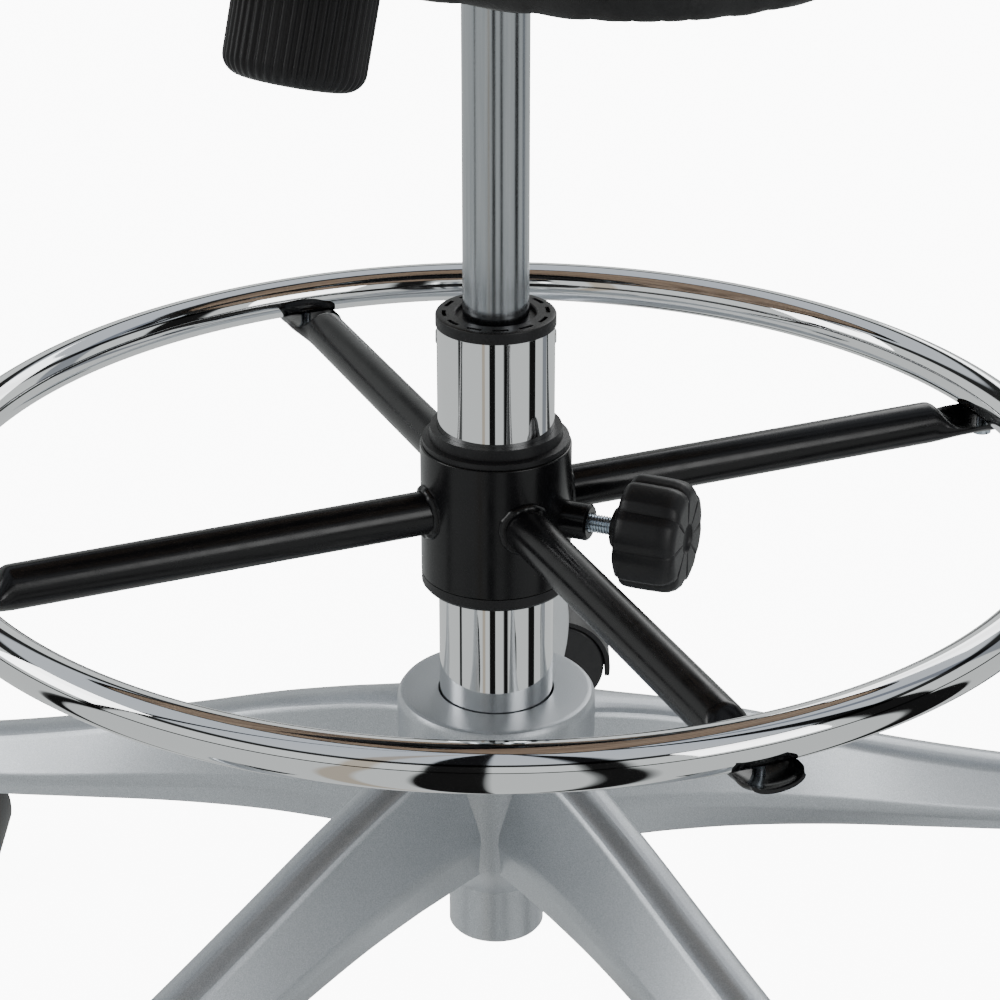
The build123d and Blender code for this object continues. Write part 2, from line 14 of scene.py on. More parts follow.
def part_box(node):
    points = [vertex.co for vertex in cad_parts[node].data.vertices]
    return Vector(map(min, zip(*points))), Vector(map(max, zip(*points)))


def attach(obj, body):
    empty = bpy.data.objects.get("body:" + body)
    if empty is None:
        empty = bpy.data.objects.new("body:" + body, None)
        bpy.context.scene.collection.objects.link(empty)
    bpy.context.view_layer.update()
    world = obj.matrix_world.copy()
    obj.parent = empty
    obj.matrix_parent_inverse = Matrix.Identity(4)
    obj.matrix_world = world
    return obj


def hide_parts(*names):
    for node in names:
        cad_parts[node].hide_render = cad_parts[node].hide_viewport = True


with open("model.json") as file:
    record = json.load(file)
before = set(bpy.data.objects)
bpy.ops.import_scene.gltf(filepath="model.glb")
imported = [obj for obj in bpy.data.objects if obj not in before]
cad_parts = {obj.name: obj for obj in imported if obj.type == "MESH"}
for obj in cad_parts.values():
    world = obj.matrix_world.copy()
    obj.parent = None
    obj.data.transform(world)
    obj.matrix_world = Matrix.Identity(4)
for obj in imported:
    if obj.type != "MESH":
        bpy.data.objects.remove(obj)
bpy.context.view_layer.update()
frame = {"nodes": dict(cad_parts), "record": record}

# %% [markdown]
# ## Camera
# The chair is seen from its front corner, from a little above the seat. A long lens flattens the view,
# and the aim is low on the column, so the foot ring fills the picture.

# %% Camera
CAMERA_TURN = math.radians(40)      # how far the camera stands round from the chair's front
CAMERA_REACH = 1.1379               # metres from the column, along the floor
CAMERA_HEIGHT = 0.7912
CAMERA_DIP = math.radians(24.98)    # how far it looks down
CAMERA_SWING = math.radians(0.086)  # how far its aim passes beside the column
LENS, SENSOR = 105.0, 36.0          # millimetres

camera_data = bpy.data.cameras.new("studio_camera")
camera_data.lens = LENS
camera_data.sensor_width = SENSOR
camera = bpy.data.objects.new("studio_camera", camera_data)
bpy.context.scene.collection.objects.link(camera)
camera.location = (CAMERA_REACH * math.sin(CAMERA_TURN), -CAMERA_REACH * math.cos(CAMERA_TURN),
                   CAMERA_HEIGHT)
camera.rotation_euler = (math.pi / 2 - CAMERA_DIP, 0, CAMERA_TURN - CAMERA_SWING)
bpy.context.scene.camera = camera
print("camera at", [round(v, 3) for v in camera.location])

# %% [markdown]
# ## Studio
# Chrome shows only what stands around it, so the studio decides how it looks. The sky here is a pale
# dome with a dark ceiling and a few narrow dark gaps, like the edges between large soft boxes. Only
# reflections see them: the camera itself sees plain white.

# %% Node helper
def add_node(tree, kind, **settings):
    """Adds a shader node, sets its options, and sets inputs given as in_0, in_Name."""
    node = tree.nodes.new(kind)
    for key, value in settings.items():
        if key.startswith("in_"):
            label = key[3:]
            socket = node.inputs[int(label)] if label.isdigit() else node.inputs[label]
            socket.default_value = value
        else:
            setattr(node, key, value)
    return node


def ramp(tree, stops, interpolation="LINEAR"):
    """A colour ramp whose stops are (position, grey) or (position, (r, g, b))."""
    node = tree.nodes.new("ShaderNodeValToRGB")
    node.color_ramp.interpolation = interpolation
    while len(node.color_ramp.elements) < len(stops):
        node.color_ramp.elements.new(0.5)
    for element, (position, colour) in zip(node.color_ramp.elements, stops):
        element.position = position
        rgb = colour if isinstance(colour, tuple) else (colour, colour, colour)
        element.color = (*rgb, 1)
    return node


# %% Bearing pattern
def column_bearing(tree, coords, x_out="X", y_out="Y"):
    """The bearing round the column of a point or a direction, as a 0 to 1 value."""
    split = add_node(tree, "ShaderNodeSeparateXYZ")
    tree.links.new(coords, split.inputs[0])
    bearing = add_node(tree, "ShaderNodeMath", operation="ARCTAN2")
    tree.links.new(split.outputs[y_out], bearing.inputs[0])
    tree.links.new(split.outputs[x_out], bearing.inputs[1])
    unit = add_node(tree, "ShaderNodeMapRange", in_1=-math.pi, in_2=math.pi)
    tree.links.new(bearing.outputs[0], unit.inputs[0])
    return unit.outputs[0], split.outputs["Z"]


SOFT_EDGE = 0.0016    # how far a band's edge fades, as a share of the full turn


def bearing_stops(bands, base):
    """Ramp stops for bands of (middle, width, colour) in degrees; 0 is +X and 90 is +Y."""
    stops = [(0.0, base)]
    for middle, width, colour in sorted(bands, key=lambda band: (band[0] + 180) % 360):
        centre = ((middle + 180) % 360) / 360
        half = width / 720
        stops += [(centre - half - SOFT_EDGE, base), (centre - half, colour), (centre + half, colour),
                  (centre + half + SOFT_EDGE, base)]
    return stops


# Gaps between the soft boxes, and a few warm or grey panels, by their bearing.
BLACK, GREY, WARM = 0.012, (0.30, 0.32, 0.35), (0.62, 0.55, 0.45)
PALE = (0.86, 0.89, 0.88)
STUDIO_BANDS = [(-57, 11, BLACK), (-31, 8, BLACK), (-74, 5, WARM), (-124, 5, BLACK),
                (24, 14, BLACK), (58, 12, GREY)]
print("studio has", len(STUDIO_BANDS), "bands")

# %% Studio sky
PAPER_STRENGTH = 10.0    # bright enough for a plain white background
world = bpy.data.worlds.new("studio_sky")
bpy.context.scene.world = world
world.use_nodes = True
sky = world.node_tree
sky.nodes.clear()
sky_coords = add_node(sky, "ShaderNodeTexCoord")
sky_bearing, sky_height = column_bearing(sky, sky_coords.outputs["Generated"])
sky_bands = ramp(sky, bearing_stops(STUDIO_BANDS, PALE))
sky.links.new(sky_bearing, sky_bands.inputs[0])
height_unit = add_node(sky, "ShaderNodeMapRange", in_1=-1.0, in_2=1.0)
sky.links.new(sky_height, height_unit.inputs[0])
# From straight down to straight up: floor, dark skirting, walls, dark edge and bluish ceiling.
CEILING_EDGE, CEILING = (0.80, 0.82, 0.88), (0.74, 0.77, 0.86)
height_ramp = ramp(sky, [(0.0, 0.9), (0.505, 0.9), (0.512, 0.02), (0.535, 0.02), (0.545, 1.0),
                         (0.74, 1.0), (0.752, 0.03), (0.80, 0.03), (0.815, CEILING_EDGE), (1.0, CEILING)])
sky.links.new(height_unit.outputs[0], height_ramp.inputs[0])
sky_mix = add_node(sky, "ShaderNodeMix", data_type="RGBA", blend_type="MULTIPLY", in_0=1.0)
sky.links.new(sky_bands.outputs[0], sky_mix.inputs["A"])
sky.links.new(height_ramp.outputs[0], sky_mix.inputs["B"])
dome = add_node(sky, "ShaderNodeBackground", in_1=1.0)
sky.links.new(sky_mix.outputs["Result"], dome.inputs[0])
paper = add_node(sky, "ShaderNodeBackground", in_0=(1, 1, 1, 1), in_1=PAPER_STRENGTH)
rays = add_node(sky, "ShaderNodeLightPath")
choice = add_node(sky, "ShaderNodeMixShader")
sky.links.new(rays.outputs["Is Camera Ray"], choice.inputs[0])
sky.links.new(dome.outputs[0], choice.inputs[1])
sky.links.new(paper.outputs[0], choice.inputs[2])
sky_out = add_node(sky, "ShaderNodeOutputWorld")
sky.links.new(choice.outputs[0], sky_out.inputs[0])
print("sky has", len(sky.nodes), "nodes")

# %% [markdown]
# Three large area lights shape the black pieces, which would else be flat: one at each side of the
# camera and one behind. A large light gives the broad, soft shine of enamel and leather.

# %% Soft boxes
def soft_box(name, place, aim, size, power):
    """A square area light that looks at a point."""
    data = bpy.data.lights.new(name, "AREA")
    data.shape = "SQUARE"
    data.size = size
    data.energy = power
    lamp = bpy.data.objects.new(name, data)
    bpy.context.scene.collection.objects.link(lamp)
    lamp.location = place
    direction = Vector(aim) - Vector(place)
    lamp.rotation_euler = direction.to_track_quat("-Z", "Y").to_euler()
    return lamp


COLUMN_MIDDLE = (0, 0, 0.3)
soft_box("left_box", (-1.9, -1.9, 1.5), COLUMN_MIDDLE, 1.4, 32)
soft_box("right_box", (2.6, -0.2, 1.3), COLUMN_MIDDLE, 1.2, 20)
soft_box("back_box", (-0.6, 2.6, 1.8), COLUMN_MIDDLE, 1.6, 26)
print("three soft boxes")

# %% [markdown]
# The floor is one large plane. It glows a little, so that no horizon shows behind the chair, and
# mirrors see the studio's panels in it: the chrome then gets its stripes below the horizon too.

# %% Floor
FLOOR_HALF, FLOOR_DROP = 8, 0.0005      # metres; the drop keeps it off the wheels
FLOOR_GLOW, PANEL_GLOW, SEEN_GLOW = 0.9, 0.85, 9.0
floor_mesh = bpy.data.meshes.new("studio_floor")
floor_bm = bmesh.new()
bmesh.ops.create_grid(floor_bm, x_segments=1, y_segments=1, size=FLOOR_HALF)
floor_bm.to_mesh(floor_mesh)
floor_bm.free()
floor = bpy.data.objects.new("studio_floor", floor_mesh)
bpy.context.scene.collection.objects.link(floor)
floor.location.z = -FLOOR_DROP
floor_finish = bpy.data.materials.new("floor_white")
floor_finish.use_nodes = True
tree = floor_finish.node_tree
shader = tree.nodes["Principled BSDF"]
shader.inputs["Base Color"].default_value = (0.95, 0.95, 0.955, 1)
shader.inputs["Roughness"].default_value = 0.8
shader.inputs["Emission Color"].default_value = (1, 1, 1, 1)
shader.inputs["Emission Strength"].default_value = FLOOR_GLOW
# What mirrors see.
floor_coords = add_node(tree, "ShaderNodeTexCoord")
floor_bearing, _ = column_bearing(tree, floor_coords.outputs["Object"])
floor_bands = ramp(tree, bearing_stops(STUDIO_BANDS, PALE))
tree.links.new(floor_bearing, floor_bands.inputs[0])
panels = add_node(tree, "ShaderNodeEmission", in_1=PANEL_GLOW)
tree.links.new(floor_bands.outputs[0], panels.inputs[0])
floor_rays = add_node(tree, "ShaderNodeLightPath")
floor_choice = add_node(tree, "ShaderNodeMixShader")
tree.links.new(floor_rays.outputs["Is Glossy Ray"], floor_choice.inputs[0])
tree.links.new(shader.outputs[0], floor_choice.inputs[1])
tree.links.new(panels.outputs[0], floor_choice.inputs[2])
# The camera sees the floor as bright as the paper behind it, with only a hint of shade.
bright = add_node(tree, "ShaderNodeEmission", in_1=SEEN_GLOW)
lift = add_node(tree, "ShaderNodeAddShader")
tree.links.new(shader.outputs[0], lift.inputs[0])
tree.links.new(bright.outputs[0], lift.inputs[1])
camera_choice = add_node(tree, "ShaderNodeMixShader")
tree.links.new(floor_rays.outputs["Is Camera Ray"], camera_choice.inputs[0])
tree.links.new(floor_choice.outputs[0], camera_choice.inputs[1])
tree.links.new(lift.outputs[0], camera_choice.inputs[2])
tree.links.new(camera_choice.outputs[0], tree.nodes["Material Output"].inputs["Surface"])
floor_mesh.materials.append(floor_finish)
print("floor", 2 * FLOOR_HALF, "m wide")

# %% [markdown]
# ## Finishes
# A finish starts from one Principled shader. Fine detail comes from noise on object coordinates, which
# are in metres here, so a scale of 1000 makes grains about a millimetre wide. Values that are the same
# all over sit on the shader itself.

# %% Finish helpers
def new_finish(name, colour, roughness, metallic=0.0, coat=0.0, specular=0.5):
    """A material with one Principled shader; returns it, its tree and the shader."""
    finish = bpy.data.materials.new(name)
    finish.use_nodes = True
    tree = finish.node_tree
    shader = tree.nodes["Principled BSDF"]
    shader.inputs["Base Color"].default_value = (*colour, 1)
    shader.inputs["Roughness"].default_value = roughness
    shader.inputs["Metallic"].default_value = metallic
    shader.inputs["Coat Weight"].default_value = coat
    shader.inputs["Specular IOR Level"].default_value = specular
    return finish, tree, shader


def object_coords(tree, stretch=(1, 1, 1)):
    """Object coordinates, scaled differently along each axis where a pattern runs one way."""
    coords = add_node(tree, "ShaderNodeTexCoord")
    mapping = add_node(tree, "ShaderNodeMapping")
    mapping.inputs["Scale"].default_value = stretch
    tree.links.new(coords.outputs["Object"], mapping.inputs[0])
    return mapping.outputs[0]


def grain(tree, where, scale, detail=3.0):
    """Noise of that scale, as a 0 to 1 value."""
    field = add_node(tree, "ShaderNodeTexNoise", in_Scale=scale, in_Detail=detail)
    tree.links.new(where, field.inputs["Vector"])
    return field.outputs["Fac"]


def vary(tree, source, target, low, high):
    """Drives a socket between two values by a 0 to 1 pattern."""
    spread = add_node(tree, "ShaderNodeMapRange", in_1=0.3, in_2=0.7, in_3=low, in_4=high)
    tree.links.new(source, spread.inputs[0])
    tree.links.new(spread.outputs[0], target)


def tint(tree, source, target, stops):
    """Drives a colour socket through a ramp."""
    node = ramp(tree, stops)
    tree.links.new(source, node.inputs[0])
    tree.links.new(node.outputs[0], target)


def emboss(tree, shader, source, strength, depth):
    """Bump from a 0 to 1 pattern; depth is in metres."""
    bump = add_node(tree, "ShaderNodeBump", in_Strength=strength, in_Distance=depth)
    tree.links.new(source, bump.inputs["Height"])
    tree.links.new(bump.outputs[0], shader.inputs["Normal"])
    return bump


# %% [markdown]
# The metals here are chrome plate, ground steel, bright zinc and a silver paint with metal flakes. The
# lift is ground round and round, so its grain is drawn out along its length. The enamel is black and
# thick, with a slight orange peel.

# %% Metal finishes
chrome, tree, shader = new_finish("chrome_plate", (0.78, 0.79, 0.80), 0.035, metallic=1.0)
where = object_coords(tree)
vary(tree, grain(tree, where, 35), shader.inputs["Roughness"], 0.02, 0.055)
emboss(tree, shader, grain(tree, where, 60, 1.0), 0.05, 0.0002)

satin_steel, tree, shader = new_finish("satin_ground_steel", (0.40, 0.42, 0.44), 0.20, metallic=1.0)
where = object_coords(tree, (1, 1, 0.02))
vary(tree, grain(tree, where, 1400), shader.inputs["Roughness"], 0.15, 0.21)
tint(tree, grain(tree, where, 700), shader.inputs["Base Color"],
     [(0.3, (0.36, 0.38, 0.40)), (0.7, (0.42, 0.44, 0.46))])

zinc, tree, shader = new_finish("bright_zinc", (0.58, 0.65, 0.72), 0.24, metallic=1.0)
where = object_coords(tree)
vary(tree, grain(tree, where, 400), shader.inputs["Roughness"], 0.18, 0.34)
emboss(tree, shader, grain(tree, where, 1500), 0.15, 0.0001)

silver, tree, shader = new_finish("silver_metallic_paint", (0.42, 0.445, 0.47), 0.38, metallic=0.75,
                                  coat=0.25)
shader.inputs["Coat Roughness"].default_value = 0.22
where = object_coords(tree)
flake = grain(tree, where, 2600, 2.0)
tint(tree, flake, shader.inputs["Base Color"],
     [(0.32, (0.33, 0.352, 0.375)), (0.5, (0.42, 0.445, 0.47)), (0.72, (0.56, 0.585, 0.61))])
vary(tree, grain(tree, where, 14), shader.inputs["Roughness"], 0.34, 0.42)
emboss(tree, shader, flake, 0.22, 0.00006)

enamel, tree, shader = new_finish("black_enamel", (0.004, 0.004, 0.0045), 0.24, specular=0.28)
where = object_coords(tree)
vary(tree, grain(tree, where, 120), shader.inputs["Roughness"], 0.18, 0.28)
emboss(tree, shader, grain(tree, where, 520), 0.10, 0.00015)
print("metal finishes ready")

# %% [markdown]
# The plastics are near black with a fine spark texture from their mould. The leather is a synthetic
# one: small pebbles from a Voronoi pattern, crossed by creases from noise, raise its surface.

# %% Plastic, leather and wood finishes
moulded, tree, shader = new_finish("black_moulded_plastic", (0.007, 0.007, 0.008), 0.44, specular=0.30)
where = object_coords(tree)
fine = grain(tree, where, 1800, 4.0)
vary(tree, fine, shader.inputs["Roughness"], 0.36, 0.50)
emboss(tree, shader, fine, 0.18, 0.0001)

nylon, tree, shader = new_finish("wheel_nylon", (0.010, 0.010, 0.011), 0.48, specular=0.35)
where = object_coords(tree)
vary(tree, grain(tree, where, 300), shader.inputs["Roughness"], 0.40, 0.58)
emboss(tree, shader, grain(tree, where, 900), 0.15, 0.0001)

rubber, tree, shader = new_finish("buffer_rubber", (0.02, 0.02, 0.02), 0.7)
where = object_coords(tree)
vary(tree, grain(tree, where, 500), shader.inputs["Roughness"], 0.62, 0.8)

leather, tree, shader = new_finish("black_grained_leather", (0.007, 0.007, 0.0075), 0.42, specular=0.32)
where = object_coords(tree)
pebbles = add_node(tree, "ShaderNodeTexVoronoi", in_Scale=620.0, in_Randomness=0.9, feature="F1")
tree.links.new(where, pebbles.inputs["Vector"])
creases = grain(tree, where, 180, 5.0)
skin = add_node(tree, "ShaderNodeMath", operation="MULTIPLY_ADD", in_1=0.55)
tree.links.new(pebbles.outputs["Distance"], skin.inputs[0])
tree.links.new(creases, skin.inputs[2])
emboss(tree, shader, skin.outputs[0], 0.32, 0.0004)
vary(tree, creases, shader.inputs["Roughness"], 0.33, 0.47)
tint(tree, creases, shader.inputs["Base Color"],
     [(0.3, (0.005, 0.005, 0.0055)), (0.7, (0.010, 0.010, 0.0105))])

plywood, tree, shader = new_finish("stained_plywood", (0.20, 0.14, 0.09), 0.65)
where = object_coords(tree, (1, 0.12, 6))
tint(tree, grain(tree, where, 60, 6.0), shader.inputs["Base Color"],
     [(0.3, (0.10, 0.065, 0.04)), (0.5, (0.19, 0.13, 0.085)), (0.7, (0.26, 0.19, 0.13))])
vary(tree, grain(tree, where, 140), shader.inputs["Roughness"], 0.55, 0.75)
print("plastic, leather and wood finishes ready")

# %% [markdown]
# Each CAD piece has a material slot in the record, and each slot has one finish. Pieces that are
# modelled again below get their finish from the same list of finishes.

# %% Paint every CAD piece
FINISH_OF_SLOT = {
    "silver_paint": silver, "chrome": chrome, "satin_steel": satin_steel, "black_enamel": enamel,
    "black_plastic": moulded, "zinc": zinc, "black_leather": leather, "plywood": plywood,
    "buffer_rubber": rubber, "wheel_nylon": nylon,
}
slot_of_node = {part["node"]: part["material_slot"] for part in frame["record"]["subparts"]}
for node_name, node in frame["nodes"].items():
    finish = FINISH_OF_SLOT[slot_of_node[node_name]]
    node.data.materials.clear()
    node.data.materials.append(finish)
print("painted", len(frame["nodes"]), "CAD pieces")

# %% [markdown]
# ## Mesh helpers
# Most of this chair is round, so most pieces start as a small outline that is spun about an axis. The
# sharp rims are then bevelled a little, because a real edge always catches a line of light.

# %% Mesh helpers
MM = 0.001


def soften(bm, width, segments=2, angle=30):
    """Bevels every edge sharper than the angle."""
    limit = math.radians(angle)
    edges = [e for e in bm.edges if len(e.link_faces) == 2 and e.calc_face_angle(0) > limit]
    bmesh.ops.bevel(bm, geom=edges, offset=width * MM, offset_type="OFFSET", segments=segments,
                    profile=0.5, affect="EDGES", clamp_overlap=True, material=-1)


def lathe(outline, steps=96, closed=True):
    """Spins an outline of (radius, height) points, in millimetres, about the z axis."""
    bm = bmesh.new()
    verts = [bm.verts.new((r * MM, 0, z * MM)) for r, z in outline]
    edges = [bm.edges.new(pair) for pair in zip(verts, verts[1:])]
    if closed:
        edges.append(bm.edges.new((verts[-1], verts[0])))
    bmesh.ops.spin(bm, geom=verts + edges, cent=(0, 0, 0), axis=(0, 0, 1), angle=2 * math.pi, steps=steps,
                   use_merge=True)
    bmesh.ops.remove_doubles(bm, verts=bm.verts, dist=1e-6)
    bmesh.ops.dissolve_degenerate(bm, edges=bm.edges, dist=1e-7)
    bmesh.ops.recalc_face_normals(bm, faces=bm.faces)
    return bm


def place(bm, *moves):
    """Applies matrices to a bmesh, the first one first."""
    for move in moves:
        bmesh.ops.transform(bm, matrix=move, verts=bm.verts)
    return bm


def about(axis, degrees):
    """A turn about an axis."""
    return Matrix.Rotation(math.radians(degrees), 4, axis)


def shift(x, y, z):
    """A move in millimetres."""
    return Matrix.Translation((x * MM, y * MM, z * MM))


LAY_ALONG_X = about("Y", 90)


def join(*parts):
    """Puts several bmeshes into the first."""
    first = parts[0]
    for part in parts[1:]:
        spare = bpy.data.meshes.new("spare")
        part.to_mesh(spare)
        part.free()
        first.from_mesh(spare)
        bpy.data.meshes.remove(spare)
    return first


def piece(name, bm, finish, body, stands_for=(), angle=35):
    """Makes the finished object of a bmesh, smooth but for edges sharper than the angle."""
    mesh = bpy.data.meshes.new(name)
    bm.to_mesh(mesh)
    bm.free()
    mesh.materials.append(finish)
    mesh.shade_smooth()
    mesh.set_sharp_from_angle(angle=math.radians(angle))
    made = bpy.data.objects.new(name, mesh)
    bpy.context.scene.collection.objects.link(made)
    even = made.modifiers.new("even_shading", "WEIGHTED_NORMAL")
    even.keep_sharp = True
    if stands_for:
        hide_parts(*stands_for)
    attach(made, body)
    print(f"{name}: {len(mesh.polygons)} faces on {body}")
    return made


def reach_of(node):
    """Radius, bottom and top of a CAD node that stands on the column's axis, in millimetres."""
    low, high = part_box(node)
    return (high[0] - low[0]) / 2 / MM, low[2] / MM, high[2] / MM



# %% [markdown]
# ## Foot ring hoop
# The hoop is a chromed tube bent to a circle. A circle of points is spun round the column's axis: the
# frame gives its radius and the tube's thickness.

# %% Foot ring hoop
hoop_outer, hoop_low, hoop_high = reach_of("foot_ring_tube")
TUBE_R = (hoop_high - hoop_low) / 2
HOOP_R = hoop_outer - TUBE_R
HOOP_Z = (hoop_high + hoop_low) / 2
bm = bmesh.new()
bmesh.ops.create_circle(bm, segments=48, radius=TUBE_R * MM, cap_ends=False)
place(bm, about("X", 90), shift(HOOP_R, 0, HOOP_Z))
bmesh.ops.spin(bm, geom=bm.verts[:] + bm.edges[:], cent=(0, 0, 0), axis=(0, 0, 1), angle=2 * math.pi,
               steps=320, use_merge=True)
bmesh.ops.recalc_face_normals(bm, faces=bm.faces)
piece("foot_hoop", bm, chrome, "foot_ring", ["foot_ring_tube"])

# %% [markdown]
# ## Column
# The chrome column is a tube that tapers at its foot, where it wedges into the base. Its outline, wall
# and all, is spun once, and the rims are bevelled.

# %% Column tube
column_r, column_low, column_top = reach_of("column_outer_tube")
WALL = 1.5
FOOT_R = 18.4
FOOT_PLATE = 2.5
ROD_HOLE_R = 4.1
TAPER_TOP = 166
outline = [(ROD_HOLE_R, column_low), (FOOT_R, column_low), (column_r, TAPER_TOP), (column_r, column_top),
           (column_r - WALL, column_top), (column_r - WALL, TAPER_TOP),
           (FOOT_R - WALL, column_low + FOOT_PLATE), (ROD_HOLE_R, column_low + FOOT_PLATE)]
bm = lathe(outline, 128)
soften(bm, 0.4)
piece("column_tube", bm, chrome, "base", ["column_outer_tube"])

# %% [markdown]
# A black ring closes the column's top, and its face has twelve short slots. They could be cut with a
# boolean, but it is cleaner to pick some faces of the spun ring and push them down.

# %% Column end ring
cap_r, cap_low, cap_top = reach_of("column_cap")
CAP_HOLE_R = 17
SLOT_IN, SLOT_OUT, SLOT_DEPTH = 21.0, 22.7, 1.4
SLOT_PITCH, SLOT_FROM, SLOT_TO = 30, 7, 23      # degrees
CAP_STEPS = 120
outline = [(CAP_HOLE_R, cap_low), (cap_r, cap_low), (cap_r, cap_top - 0.9), (cap_r - 0.3, cap_top - 0.3),
           (cap_r - 1.0, cap_top), (SLOT_OUT, cap_top), (SLOT_IN, cap_top), (CAP_HOLE_R + 0.5, cap_top),
           (CAP_HOLE_R, cap_top - 0.5)]
bm = lathe(outline, CAP_STEPS)
slot_faces = []
for face in bm.faces:
    middle = face.calc_center_median()
    reach = math.hypot(middle.x, middle.y) / MM
    turn = math.degrees(math.atan2(middle.y, middle.x)) % SLOT_PITCH
    if middle.z / MM > cap_top - 0.01 and SLOT_IN < reach < SLOT_OUT and SLOT_FROM < turn < SLOT_TO:
        slot_faces.append(face)
pushed = bmesh.ops.extrude_face_region(bm, geom=slot_faces)
moved = [v for v in pushed["geom"] if isinstance(v, bmesh.types.BMVert)]
bmesh.ops.translate(bm, verts=moved, vec=(0, 0, -SLOT_DEPTH * MM))
bmesh.ops.delete(bm, geom=slot_faces, context="FACES_ONLY")
bmesh.ops.recalc_face_normals(bm, faces=bm.faces)
piece("column_end_ring", bm, moulded, "base", ["column_cap"], angle=28)

# %% [markdown]
# Two small marks are pressed into the tube to hold the end ring, on opposite sides of the column. Each
# is a shallow dished disc, spun about its own axis and then laid against the tube.

# %% Column marks
MARK_Z = column_top - 6
for number, turn in enumerate((40, 220), start=1):
    bm = lathe([(0, 0.15), (1.2, 0.1), (1.8, 0.45), (2.5, 0.45), (3.1, 0.05), (3.1, -0.6), (0, -0.6)], 32,
               closed=False)
    place(bm, LAY_ALONG_X, shift(column_r, 0, MARK_Z), about("Z", turn))
    piece(f"column_mark_{number}", bm, chrome, "base")

# %% [markdown]
# The gas lift's cylinder slides in the column. It is straight but for its top, which tapers by less
# than a millimetre to wedge into the seat's housing. The valve pin comes out through a small hole.

# %% Gas lift cylinder
lift_r, lift_low, lift_top = reach_of("gas_cylinder")
BORE_R, VALVE_HOLE_R = 11, 4.1
TAPER_LONG, TAPER_IN, HEAD_THICK = 43, 0.8, 17
outline = [(BORE_R, lift_low), (lift_r, lift_low), (lift_r, lift_top - TAPER_LONG),
           (lift_r - TAPER_IN, lift_top), (VALVE_HOLE_R, lift_top), (VALVE_HOLE_R, lift_top - HEAD_THICK),
           (BORE_R, lift_top - HEAD_THICK)]
bm = lathe(outline, 96)
soften(bm, 0.5)
piece("lift_cylinder", bm, satin_steel, "lift", ["gas_cylinder"])

# %% [markdown]
# ## Foot ring collar
# The collar, the spokes and the nut are welded together and coated black. The collar is a short thick
# tube round the column, so one spun rectangle with softened rims is enough.

# %% Collar
COLLAR_R, COLLAR_BORE = 32.5, 30.0
COLLAR_LOW, COLLAR_TOP = 229, 289
bm = lathe([(COLLAR_BORE, COLLAR_LOW), (COLLAR_R, COLLAR_LOW), (COLLAR_R, COLLAR_TOP),
            (COLLAR_BORE, COLLAR_TOP)], 128)
soften(bm, 0.7, 3)
piece("ring_collar", bm, enamel, "foot_ring", ["foot_ring_spider"])

# %% [markdown]
# Legs, spokes and knobs change their section along their length. For these a ring of edges is extruded
# again and again, and each new ring is moved to its own shape. Each point keeps its place round the
# ring in a layer, so a section can be given as a function of that place.

# %% Loft helper
def ease(low, high, x):
    """0 below low, 1 above high and a smooth turn between."""
    t = min(max((x - low) / (high - low), 0), 1)
    return t * t * (3 - 2 * t)


def loft(section, stations, around):
    """Extrudes a ring of points from station to station; section(station, turn) shapes each ring."""
    bm = bmesh.new()
    turn_of = bm.verts.layers.float.new("turn")
    bmesh.ops.create_circle(bm, segments=around, radius=1)
    for vert in bm.verts:
        vert[turn_of] = math.atan2(vert.co.y, vert.co.x)

    def shape(verts, station):
        for vert in verts:
            vert.co = Vector(section(station, vert[turn_of])) * MM

    first = ring = bm.edges[:]
    shape(bm.verts, stations[0])
    for station in stations[1:]:
        grown = bmesh.ops.extrude_edge_only(bm, edges=ring)["geom"]
        verts = {item for item in grown if isinstance(item, bmesh.types.BMVert)}
        ring = [item for item in grown if isinstance(item, bmesh.types.BMEdge)
                and item.verts[0] in verts and item.verts[1] in verts]
        shape(verts, station)
    bmesh.ops.holes_fill(bm, edges=[e for e in bm.edges if e.is_boundary], sides=0)
    bmesh.ops.recalc_face_normals(bm, faces=bm.faces)
    return bm


# %% [markdown]
# ## Base
# The base is one casting: a turned hub and five legs. A leg's section is a rounded outline, drawn once
# for each station along it, so the ridge, the flank with its crease and the hollow underside all run
# on smoothly. Near the hub the legs flare, as a casting's fillets do.

# %% Leg section
# Distance out, top, underside, then half widths of the ridge, the crease and the underside.
LEG_TABLE = [
    (24, 164.0, 96.0, 14.0, 23.5, 19.5), (44, 160.0, 95.4, 10.0, 21.0, 18.6),
    (58, 157.0, 95.0, 8.6, 20.7, 18.4), (76, 152.8, 94.6, 7.9, 20.8, 18.3),
    (110, 143.2, 92.4, 7.6, 21.2, 18.6), (155, 128.2, 87.4, 7.4, 22.3, 20.2),
    (205, 112.2, 79.2, 7.2, 23.2, 21.5), (250, 99.2, 70.4, 7.0, 22.0, 20.3),
    (285, 90.4, 64.0, 6.8, 19.4, 17.4), (310, 85.0, 60.4, 6.6, 16.8, 14.2),
    (320, 82.4, 60.2, 5.4, 13.8, 11.0), (324.5, 79.4, 61.0, 3.8, 10.4, 8.0),
    (327, 76.0, 63.0, 2.0, 6.0, 4.5)]
CREASE_SHARE = 0.3
UNDERSIDE_DEPTH = 7.0
ROOT_OUT, NOSE_OUT = 24, 310      # between these the stations are evenly spaced


